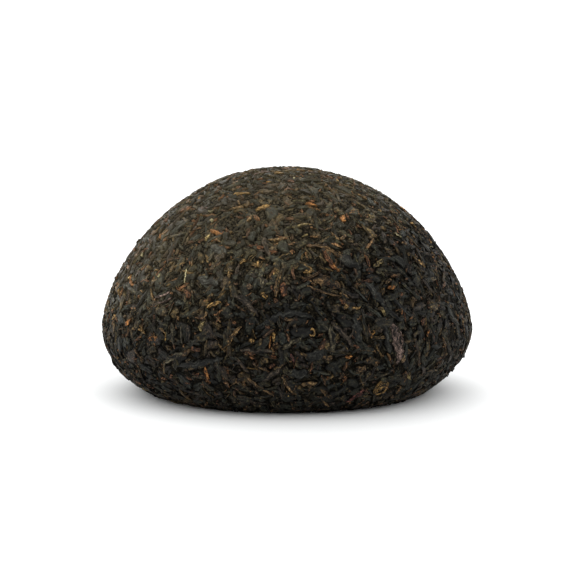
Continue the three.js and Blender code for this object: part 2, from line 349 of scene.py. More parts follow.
def laying_tree():
    """Geometry Nodes: a carrier in, leaves laid on it out."""
    tree = bpy.data.node_groups.new("lay_leaves", "GeometryNodeTree")
    for name, kind in INPUTS.items():
        tree.interface.new_socket(name=name, in_out="INPUT", socket_type="NodeSocket" + kind)
    tree.interface.new_socket(name="Leaves", in_out="OUTPUT", socket_type="NodeSocketGeometry")
    net = Net(tree)
    given = net.add("NodeGroupInput")
    seed = given.of("Seed")

    def random(kind, least, most, shift):
        slot = {"FLOAT_VECTOR": (0, 1, 0), "FLOAT": (2, 3, 1), "INT": (4, 5, 2)}[kind]
        return net.add(
            "FunctionNodeRandomValue", {"data_type": kind},
            {slot[0]: least, slot[1]: most, "Seed": seed + shift}, slot[2],
        )

    def store(geometry, kind, domain, name, value):
        return net.add(
            "GeometryNodeStoreNamedAttribute", {"data_type": kind, "domain": domain},
            {"Geometry": geometry, "Name": name, "Value": value},
        )

    def read(kind, name):
        return net.add("GeometryNodeInputNamedAttribute", {"data_type": kind}, {"Name": name})

    # Points on the carrier, each with a leaf that lies flat and is turned with its neighbours.
    density = given.of("Leaves per square metre")
    points = net.add(
        "GeometryNodeDistributePointsOnFaces", {"distribute_method": "POISSON"},
        {
            "Mesh": given.of("Carrier"), "Density Max": density * CROWDING,
            "Distance Min": density.power(-0.5) * EVENNESS, "Seed": seed,
        },
    )
    drift = net.cloud(net.add("GeometryNodeInputPosition"), DRIFT_SCALE, 0.0)
    angle = drift * DRIFT_TURNS * 2 * math.pi + random("FLOAT", -DRIFT_SPREAD, DRIFT_SPREAD, 1)
    spin = net.add("FunctionNodeAxisAngleToRotation", {}, {"Axis": (0, 0, 1), "Angle": angle})
    turned = net.add(
        "FunctionNodeRotateRotation", {"rotation_space": "LOCAL"},
        {"Rotation": points.of("Rotation"), "Rotate By": spin},
    )
    shapes = net.add(
        "GeometryNodeCollectionInfo", {},
        {"Collection": given.of("Leaf shapes"), "Separate Children": True, "Reset Children": True},
    )
    size = random("FLOAT_VECTOR", given.of("Smallest size"), given.of("Largest size"), 3)
    height = net.add("ShaderNodeSeparateXYZ", {}, {0: net.add("GeometryNodeInputPosition")}, "Z")
    finer = net.spread(height, FINER_FROM, CAKE_HEIGHT, 1.0, FINER_TOP)
    leaves = net.add(
        "GeometryNodeInstanceOnPoints", {},
        {
            "Points": points, "Instance": shapes, "Pick Instance": True,
            "Instance Index": random("INT", 0, SHAPE_PICKS, 2), "Rotation": turned,
            "Scale": net.vector("SCALE", size, scale=finer),
        },
    )
    # What belongs to a whole leaf: its tone, its lift, its step in the layers and its cell in the map.
    count = net.add(
        "GeometryNodeAttributeDomainSize", {"component": "INSTANCES"}, {"Geometry": leaves}, "Instance Count",
    )
    across = count.math("CEIL", (count / given.of("Cell shape")).power(0.5))
    down = count.math("CEIL", count / across)
    index = net.add("GeometryNodeInputIndex")
    column = index.math("MODULO", index, across)
    row = index.math("FLOOR", index / across)
    cell = net.add("ShaderNodeCombineXYZ", {}, {0: column, 1: row})
    lift = random("FLOAT", given.of("Lowest lift"), given.of("Highest lift"), 5)
    leaves = store(leaves, "FLOAT", "INSTANCE", "tone", random("FLOAT", 0.0, 1.0, 4))
    leaves = store(leaves, "FLOAT", "INSTANCE", "lift", lift)
    leaves = store(leaves, "FLOAT", "INSTANCE", "layer", random("FLOAT", -LAYERS, LAYERS, 6))
    leaves = store(leaves, "FLOAT_VECTOR", "INSTANCE", "cell", cell)
    leaves = net.add("GeometryNodeRealizeInstances", {}, {"Geometry": leaves})
    # Each point goes to the carrier's surface, plus its height in the leaf, and never through the table.
    foot = net.add("GeometryNodeProximity", {"target_element": "FACES"}, {0: given.of("Carrier")})
    normal = net.add(
        "GeometryNodeSampleNearestSurface", {"data_type": "FLOAT_VECTOR"},
        {"Mesh": given.of("Carrier"), "Value": net.add("GeometryNodeInputNormal")},
    )
    rise = net.add(
        "ShaderNodeMath", {"operation": "SMOOTH_MIN"},
        {0: read("FLOAT", "rise") + read("FLOAT", "lift"), 1: given.of("Press height"), 2: PRESS_SOFTNESS},
    )
    leaves = store(leaves, "FLOAT", "POINT", "rise", rise + read("FLOAT", "layer"))
    place = net.vector("ADD", foot, net.vector("SCALE", normal, scale=read("FLOAT", "rise")))
    place = net.vector("MAXIMUM", place, (-1, -1, TABLE_GAP))
    leaves = net.add("GeometryNodeSetPosition", {}, {"Geometry": leaves, "Position": place})
    # The leaf's own map, shrunk into its cell.
    inner = (1 - 2 * CELL_INSET[0], 1 - 2 * CELL_INSET[1], 1)
    own = net.vector("MULTIPLY_ADD", read("FLOAT_VECTOR", "leaf_map"), inner, (*CELL_INSET, 0))
    own = net.vector("ADD", own, read("FLOAT_VECTOR", "cell"))
    own = net.vector("DIVIDE", own, net.add("ShaderNodeCombineXYZ", {}, {0: across, 1: down, 2: 1.0}))
    leaves = store(leaves, "FLOAT2", "CORNER", "OFBake", own)
    leaves = net.add("GeometryNodeSetShadeSmooth", {}, {"Geometry": leaves, "Shade Smooth": False})
    leaves = net.add("GeometryNodeSetMaterial", {}, {"Geometry": leaves, "Material": given.of("Finish")})
    net.add("NodeGroupOutput", {}, {0: leaves})
    return tree


lay_leaves = laying_tree()
print("tree with", len(lay_leaves.nodes), "nodes")

# %% [markdown]
# Leaf shapes. A pressed leaf of ripe tea is a rolled or folded strip that was squeezed flat: rounded
# or ridged on top, blunt or torn at its ends, a little bent and twisted. One function makes them all
# from a length, a width, a thickness and a number of ridges. It writes three values on each point:
# rise, its height above the carrier, crest, 0 in a fold and 1 on a ridge, and rim, 1 at the edge of
# the leaf, where it turns down into the dark. The finish paints shade by them, in folds, at the rim
# and where a leaf lies low. Each shape has only a few dozen faces, because it is used hundreds of times.

# %% One leaf
RNG = np.random.default_rng(27)
UNDERSIDE = -0.6
ARCH_POWER = 3
FOLD_CHANCE = 0.4
CUT_DRIFT = 0.3
BOWED_HOOK = 0.3
END_POWER = 4
COIL_STRETCH = 1.4
COIL_TIGHTENING = 0.3
SEAM_INSET = 0.02
Leaf = namedtuple("Leaf", "points crests rims faces corners")


def leaf_form(
    length, width, thickness, across=3, cuts=6, bend=0.1, kink=0.15, ragged=0.2, twist=0.5,
    blunt=0.8, tuck=0.6, depth=0.5, lumpy=0.15, squareness=1.8, bow=None, coil=None,
):
    """A closed strip along X, lying in XY, with Z its height above the carrier.

    across and cuts count its points, bend and kink curve it slowly and quickly, ragged and lumpy make
    its sides and its top uneven, blunt fills its ends, tuck lets them dip, and depth is that of a fold.
    """
    # The section: places across the leaf, with ridges and folds by turns, and one point underneath.
    side = np.linspace(-1, 1, across + 2)
    side = np.sign(side) * (1 - (1 - np.abs(side)) ** squareness)
    arch = np.maximum(1 - np.abs(side) ** ARCH_POWER, 0) ** 0.5
    by_turns = RNG.uniform(0, 1, side.size), (np.arange(side.size) + RNG.integers(2)) % 2
    folds = by_turns[0] * FOLD_CHANCE + (1 - FOLD_CHANCE) * by_turns[1]
    heights = np.append(arch * (1 - depth * folds), UNDERSIDE)
    side = np.append(side, 0)
    tops = heights > 0
    # The run: where the leaf is cut into sections, how it bends, twists, ends and dips.
    t = np.linspace(-1, 1, cuts + 1)
    t[1:-1] += RNG.uniform(-CUT_DRIFT, CUT_DRIFT, cuts - 1) / cuts
    sag, hook = RNG.uniform(-1, 1, 2) * length * bend
    if bow is not None:
        sag, hook = bow * length, hook * BOWED_HOOK
    middle = sag * t**2 + hook * t**3 + width * kink * RNG.uniform(-1, 1, t.size)
    twist = twist * RNG.uniform(-1, 1)
    ends = RNG.uniform(blunt * 0.4, min(1.0, blunt * 1.2), 2)
    fullness = np.where(t < 0, ends[0], ends[1]) ** (np.abs(t) ** END_POWER)
    dip = tuck * thickness * RNG.uniform(0, 1, 2)
    # Each section is the same one, slid and tilted by the twist and thinner towards the ends.
    points, crests, rims = [], [], []
    for i, share in enumerate(t):
        edge = fullness[i] * (1 + ragged * RNG.uniform(-1, 1, 2))
        x = side + twist * share * (1 - side**2) * 0.7
        x = np.where(x < 0, x * edge[0], x * edge[1])
        rise = thickness * (heights * (0.7 + 0.3 * fullness[i]) + twist * share * 0.5 * side)
        rise = rise - dip[int(share > 0)] * share**4
        rise = rise + lumpy * thickness * RNG.uniform(-1, 1, rise.size) * tops
        for offset, z, height, flank in zip(x, rise, heights, side):
            if coil:
                turned = coil * math.pi * share
                reach = length / (coil * 2 * math.pi) * (1 - COIL_TIGHTENING * share)
                reach += offset * width / 2
                points.append((reach * math.cos(turned), COIL_STRETCH * reach * math.sin(turned), z))
            else:
                points.append((share * length / 2, middle[i] + offset * width / 2, z))
            crests.append(min(max(height, 0) / (1 - depth * 0.3), 1))
            rims.append(1.0 if i in (0, cuts) or height < 0 else abs(flank))
    # The faces: quads between sections, each in the leaf's own map, and a cap at either end.
    n = len(side)
    faces, corners = [], []
    for i in range(cuts):
        for k in range(n):
            m = (k + 1) % n
            faces.append((i * n + k, i * n + m, (i + 1) * n + m, (i + 1) * n + k))
            u, v = (i / cuts, (i + 1) / cuts), (k / n, (k + 1) / n)
            corners += [(u[0], v[0]), (u[0], v[1]), (u[1], v[1]), (u[1], v[0])]
    for first, order, edge, inset in ((0, -1, 0.0, SEAM_INSET), (cuts * n, 1, 1.0, -SEAM_INSET)):
        faces.append(tuple(first + k for k in range(n))[::order])
        corners += [(edge + inset * (k % 2), k / n) for k in range(n)][::order]
    return Leaf(points, crests, rims, faces, corners)


def leaf_mesh(name, leaf, values, corner_maps):
    """A mesh from a leaf, with values on its points and maps on its corners."""
    mesh = bpy.data.meshes.new(name)
    mesh.from_pydata(leaf.points, [], leaf.faces)
    for key, rows in corner_maps.items():
        mesh.uv_layers.new(name=key).data.foreach_set("uv", np.array(rows, np.float32).ravel())
    for key, rows in values.items():
        rows = np.array(rows, np.float32)
        kind, field = ("FLOAT_VECTOR", "vector") if rows.ndim > 1 else ("FLOAT", "value")
        mesh.attributes.new(key, kind, "POINT").data.foreach_set(field, rows.ravel())
    return mesh


# %% A family of shapes
def leaf_family(name, count, length, width, thickness, **form):
    """Several shapes of one kind of leaf, in a collection of their own that isn't shown."""
    family = bpy.data.collections.new(name)
    for k in range(count):
        size = [RNG.uniform(*span) * MM for span in (length, width, thickness)]
        leaf = leaf_form(*size, **form)
        values = {"rise": [p[2] for p in leaf.points], "crest": leaf.crests, "rim": leaf.rims}
        mesh = leaf_mesh(f"{name}_{k:02d}", leaf, values, {"leaf_map": leaf.corners})
        family.objects.link(bpy.data.objects.new(mesh.name, mesh))
    return family


# %% [markdown]
# Dust and painted top light. Crumbled leaf lies as a thin grey-brown film on the upper part of the
# cake, a little more to the left. It could be grains, far too small to model. A film that fades in with
# height is enough: it takes contrast away and lifts the black, and leaves and core wear the same one.
# The same mask also paints light there: the shade is pulled towards one level, as by a sheen, and the
# colour is made lighter, as by light from above.

# %% Dust and painted top light
DUST_AND_TOP_LIGHT_LOW = 23 * MM
DUST_AND_TOP_LIGHT_HIGH = 48 * MM
DUST_AND_TOP_LIGHT_LEAN = 0.35
DUST_AND_SHEEN_COLOUR = (0.092, 0.0735, 0.0415)


def dust_and_top_light_mask(net, place):
    """How much grey-brown film and painted top light a place gets: 0 low on the cake, 1 near its top."""
    where = net.add("ShaderNodeSeparateXYZ", {}, {0: place})
    return net.spread(where.of("Z") - where.of("X") * DUST_AND_TOP_LIGHT_LEAN, DUST_AND_TOP_LIGHT_LOW, DUST_AND_TOP_LIGHT_HIGH, curve="SMOOTHSTEP")


print("dust from", round(DUST_AND_TOP_LIGHT_LOW / MM), "to", round(DUST_AND_TOP_LIGHT_HIGH / MM), "mm")

# %% [markdown]
# Leaf finishes. Ripe leaf is fermented almost black, dull on the ridges and faintly glossy where it
# was pressed. A leaf's tone picks its colour from a ramp, so neighbours differ. Fibres run along the
# leaf, so a noise that is stretched along the leaf's own map draws them, partly as their own tone and
# partly as painted shade in their wrinkles and painted light on their ridges. Then four things darken
# the colour: painted shade in the folds, at the rim that turns down and where a leaf lies low among
# the others, and specks of the leaf's own grain. A photo could have been laid over the dome instead,
# but it would only fit one side.

# %% A leaf finish
PATCHES = 700.0
SPECKS = 2500.0
REGIONS = 110.0
TONE_SHIFT = 37.0
LOW_LEAF_SHADE = (-0.35 * MM, 0.2 * MM)
CONTRAST = 1.4
BRIGHTNESS = 1.18
# Painted top light and sheen, with a film of crumbled leaf: the shade level that the veil pulls to, the
# painted light low and at the top, how much of the shade is pulled, how much light brown is mixed in.
DUST_AND_SHEEN_SHADE = 0.55
PAINTED_LIGHT_LOW = 0.39
PAINTED_LIGHT_TOP = 1.98
DUST_AND_SHEEN_VEIL = 0.75
DUST_AND_SHEEN_COVER = 0.4
DULL = 0.04


def leaf_finish(
    name, tones, wrinkles=(3, 9), fold_shade=0.3, fibre=0.9, roughness=(0.55, 0.8), bump=1.0, gloss=0.22,
    tinted=False,
):
    """A material for one kind of leaf. tones: colour stops over the leaf's random tone."""
    material, net = new_finish(name)
    tone, crest, rise, rim = (
        net.add("ShaderNodeAttribute", {"attribute_name": value}, {}, "Fac")
        for value in ("tone", "crest", "rise", "rim")
    )
    along = net.add("ShaderNodeUVMap", {"uv_map": "leaf_map"})
    place = net.add("ShaderNodeTexCoord", {}, {}, "Object")
    shift = net.add("ShaderNodeCombineXYZ", {}, {0: 0.0, 1: 0.0, 2: tone * TONE_SHIFT})
    stretched = net.vector("MULTIPLY", net.vector("ADD", along, shift), (*wrinkles, 1))
    fibres = net.cloud(stretched, 1.0, 3.0, 0.6)
    patches = net.cloud(place, PATCHES, 3.0, 0.6)
    grain = net.cloud(place, SPECKS, 4.0, 0.85)
    regions = net.cloud(place, REGIONS, 1.0)
    ramp = net.add("ShaderNodeValToRGB", {}, {"Fac": tone + patches * 0.4 + regions * 0.3 - 0.35})
    stops = ramp.node.color_ramp.elements
    for k, (position, colour) in enumerate(tones):
        stop = stops[k] if k < 2 else stops.new(position)
        stop.position = position
        stop.color = (*colour, 1)
    if tinted:
        tint = net.add("ShaderNodeAttribute", {"attribute_name": "tint"}, {}, "Vector")
        cover = net.spread(patches + crest * 0.35, 0.4, 0.7, 0.25, 1.0)
        ramp = net.add("ShaderNodeMix", {"data_type": "RGBA"}, {0: cover, 6: ramp, 7: tint}, 2)
    dust_and_top_light = dust_and_top_light_mask(net, place)
    # Painted shade where a leaf lies low among its neighbours.
    depth = net.spread(rise, *LOW_LEAF_SHADE, 0.03, 1.2, "SMOOTHSTEP")
    speck = net.spread(grain, 0.37, 0.63, 0.05, 1.95)
    # Fibre streaks: partly the fibres' own tone, partly painted shade in their wrinkles and painted light on
    # their ridges.
    crease = net.spread(fibres, 0.36, 0.62, 1 - fibre, 1 + fibre)
    # Painted shade at the rim, where the leaf turns down, and in its folds.
    edge = net.spread(rim, 0.6, 0.95, 1.0, 0.05, "SMOOTHSTEP")
    folds = (fold_shade + crest * (1 - fold_shade)) * edge
    shade = (crease * folds * depth * speck).power(CONTRAST) * BRIGHTNESS
    # Dust and painted light: towards the top, and a little to the left, the shade is pulled towards one level
    # as by a sheen, the colour is made lighter as by light from above, and a light brown of crumbled leaf and
    # sheen is mixed in.
    light = (shade + (DUST_AND_SHEEN_SHADE - shade) * dust_and_top_light * DUST_AND_SHEEN_VEIL) * (PAINTED_LIGHT_LOW + dust_and_top_light * PAINTED_LIGHT_TOP)
    colour = net.vector("SCALE", ramp, scale=light)
    film = {0: dust_and_top_light * DUST_AND_SHEEN_COVER, 6: colour, 7: (*DUST_AND_SHEEN_COLOUR, 1)}
    colour = net.add("ShaderNodeMix", {"data_type": "RGBA"}, film, 2)
    rough = roughness[0] + patches * (roughness[1] - roughness[0])
    ridged = net.add(
        "ShaderNodeBump", {},
        {"Strength": bump, "Distance": 0.5 * MM, "Height": fibres * 0.8 + patches * 0.6 + grain * 0.9},
    )
    shader = net.add(
        "ShaderNodeBsdfPrincipled", {},
        {
            "Base Color": colour, "Roughness": rough, "Normal": ridged, "Specular IOR Level": DULL,
            "Coat Weight": folds.math("MULTIPLY", folds, depth * gloss, True), "Coat Roughness": 0.45,
        },
    )
    net.add("ShaderNodeOutputMaterial", {}, {"Surface": shader})
    return material


# %% The tones of the leaves
SLATE_TONES = [
    (0.0, (0.0093, 0.0088, 0.0061)),
    (0.12, (0.0278, 0.0263, 0.0148)),
    (0.24, (0.0242, 0.0278, 0.0224)),
    (0.35, (0.0515, 0.0420, 0.0183)),
    (0.46, (0.0155, 0.0149, 0.0107)),
    (0.57, (0.0278, 0.0294, 0.0183)),
    (0.67, (0.0659, 0.0451, 0.0204)),
    (0.78, (0.0340, 0.0263, 0.0204)),
    (0.89, (0.0258, 0.0257, 0.0163)),
    (1.0, (0.0927, 0.0630, 0.0244)),
]
DARK_TONES = [
    (0.0, (0.0093, 0.0088, 0.0061)),
    (0.12, (0.0309, 0.0289, 0.0157)),
    (0.23, (0.0263, 0.0299, 0.0244)),
    (0.34, (0.0515, 0.0441, 0.0193)),
    (0.44, (0.0170, 0.0161, 0.0114)),
    (0.55, (0.0742, 0.0567, 0.0239)),
    (0.65, (0.0494, 0.0331, 0.0234)),
    (0.76, (0.0273, 0.0268, 0.0183)),
    (0.88, (0.0927, 0.0609, 0.0244)),
    (1.0, (0.1288, 0.0798, 0.0295)),
]
BROWN_TONES = [
    (0.0, (0.062, 0.030, 0.016)),
    (0.2, (0.084, 0.054, 0.029)),
    (0.4, (0.104, 0.044, 0.020)),
    (0.6, (0.112, 0.066, 0.031)),
    (0.8, (0.146, 0.064, 0.025)),
    (1.0, (0.180, 0.104, 0.043)),
]
GOLD_TONES = [
    (0.0, (0.230, 0.105, 0.024)),
    (0.35, (0.300, 0.175, 0.048)),
    (0.7, (0.290, 0.215, 0.085)),
    (1.0, (0.360, 0.225, 0.060)),
]
slate_finish = leaf_finish("slate_leaf", SLATE_TONES, wrinkles=(4, 6), fibre=0.6)
dark_finish = leaf_finish("dark_leaf", DARK_TONES, wrinkles=(3, 4.5), fibre=0.6)
brown_finish = leaf_finish("brown_leaf", BROWN_TONES)
gold_finish = leaf_finish("golden_leaf", GOLD_TONES, bump=0.6)
single_finish = leaf_finish("single_leaf", DARK_TONES, wrinkles=(4, 6), tinted=True)
print("stops of tone", [len(tones) for tones in (SLATE_TONES, DARK_TONES, BROWN_TONES, GOLD_TONES)])

# %% [markdown]
# Laying each kind. The kinds differ in shape, size, number and finish. A piece holds one kind, so that
# each stays a mesh of a moderate size. Numbers are given per square centimetre of cake, which is how a
# maker would count them. Lengths, widths, thicknesses and lifts are millimetres, from least to most. A
# lift below zero sinks a leaf, so that its neighbours close over its edge.

# %% Lay one kind of leaf
PRESS_HEIGHT = 0.38 * MM
CELL_SHAPE = 3.0
SIZES = ((0.8, 0.8, 0.8), (1.25, 1.25, 1.0))
CM2_IN_M2 = 1e4


def lay(name, family, finish, per_cm2, lift, seed, size=SIZES):
    """Lays a family of leaves on the carrier and returns them as one plain mesh."""
    holder = shown(name, carrier.data)
    modifier = holder.modifiers.new("lay", "NODES")
    modifier.node_group = lay_leaves
    wanted = {
        "Leaf shapes": family, "Finish": finish, "Leaves per square metre": per_cm2 * CM2_IN_M2,
        "Smallest size": size[0], "Largest size": size[1],
        "Lowest lift": lift[0] * MM, "Highest lift": lift[1] * MM,
        "Press height": PRESS_HEIGHT, "Cell shape": CELL_SHAPE, "Seed": seed,
    }
    for socket in lay_leaves.interface.items_tree:
        if socket.name in wanted:
            modifier[socket.identifier] = wanted[socket.name]
    holder.update_tag()
    graph = bpy.context.evaluated_depsgraph_get()
    mesh = bpy.data.meshes.new_from_object(holder.evaluated_get(graph), depsgraph=graph)
    mesh.name = name
    holder.modifiers.clear()
    holder.data = mesh
    triangles = sum(len(p.vertices) - 2 for p in mesh.polygons)
    print(name, len(mesh.vertices), "points", triangles, "triangles")
    return holder


# %% The kinds of leaf
rolls = leaf_family("roll", 12, (4, 8.5), (1.1, 1.6), (0.8, 1.1), across=5, cuts=7, bend=0.07, blunt=0.9)
strips = leaf_family(
    "strip", 12, (2.6, 5.4), (0.8, 1.3), (0.75, 1.05), across=3, cuts=5, bend=0.06, blunt=0.95,
)
crumples = leaf_family(
    "crumple", 14, (2.4, 4.8), (1.6, 2.8), (0.6, 0.8), across=5, cuts=4, bend=0.06,
    ragged=0.35, twist=0.8, lumpy=0.3, blunt=1.1,
)
nodules = leaf_family(
    "nodule", 12, (1.3, 2.7), (1.1, 1.9), (0.8, 1.1), across=4, cuts=3,
    ragged=0.35, twist=0.8, lumpy=0.35, blunt=1.1,
)
threads = leaf_family("thread", 8, (1.8, 4), (0.4, 0.65), (0.6, 0.9), across=1, cuts=4, depth=0.1, bend=0.08)
crumbs = leaf_family("crumb", 8, (0.7, 1.5), (0.5, 1.0), (0.7, 1.0), across=2, cuts=2, ragged=0.35, blunt=1.0)
SMALL_ROLLS = ((0.4, 0.7, 0.8), (0.8, 1.0, 1.0))
SMALL_STRIPS = ((0.5, 0.7, 0.8), (0.9, 1.15, 1.0))
SMALL_NODULES = ((0.5, 0.5, 0.8), (1.0, 1.0, 1.0))
TIPS = ((0.3, 0.45, 0.8), (0.6, 0.8, 1.0))
pieces = [
    lay("crumpled_leaf", crumples, slate_finish, 11, (-0.4, -0.15), seed=11),
    lay("strip_leaf", strips, dark_finish, 9, (-0.6, -0.3), seed=12),
    lay("rolled_leaf", rolls, slate_finish, 3.6, (-0.65, -0.35), seed=13),
    lay("nodule_leaf", nodules, dark_finish, 10, (-0.6, -0.3), seed=20),
    lay("thread_leaf", threads, dark_finish, 3, (-0.5, -0.1), seed=14),
    lay("crumb_leaf", crumbs, dark_finish, 14, (-0.6, -0.25), seed=15),
    lay("brown_roll", rolls, brown_finish, 0.9, (-0.7, -0.3), seed=21, size=SMALL_ROLLS),
    lay("brown_strip", strips, brown_finish, 3.5, (-0.6, -0.25), seed=16, size=SMALL_STRIPS),
    lay("brown_nodule", nodules, brown_finish, 4.0, (-0.6, -0.3), seed=22, size=SMALL_NODULES),
    lay("brown_crumb", crumbs, brown_finish, 4.5, (-0.6, -0.2), seed=19),
    lay("brown_thread", threads, brown_finish, 0.9, (-0.5, -0.15), seed=17),
    lay("golden_tip", strips, gold_finish, 0.2, (-0.5, -0.2), seed=18, size=TIPS),
]

# %% [markdown]
# Leaves that one remembers. Many leaves of the real cake stand out: a plum-coloured one at the right,
# curled ones, pale stems, orange, rust and golden bits, long dark strips, and a few ends that stick out
# past the outline. Chance would not lay them there, so they are listed by colour. Each is set where a
# pixel of the photo shows it. The pixel's ray meets the carrier, and the leaf is bent to the carrier
# round that place, so it lies among the others from any side. Its colour covers most of the leaf and
# lets the dark leaf show through in patches.

# %% Leaves at their own places
TINTS = {
    "straw": (0.324, 0.281, 0.151),
    "gold": (0.252, 0.150, 0.050),
    "orange": (0.262, 0.110, 0.030),
    "rust": (0.118, 0.050, 0.021),
    "red": (0.143, 0.054, 0.043),
    "tan": (0.162, 0.100, 0.043),
    "brown": (0.100, 0.060, 0.026),
    "plum": (0.150, 0.102, 0.082),
    "lime": (0.164, 0.123, 0.050),
    "olive": (0.070, 0.059, 0.035),
    "umber": (0.044, 0.033, 0.022),
    "char": (0.026, 0.026, 0.021),
}
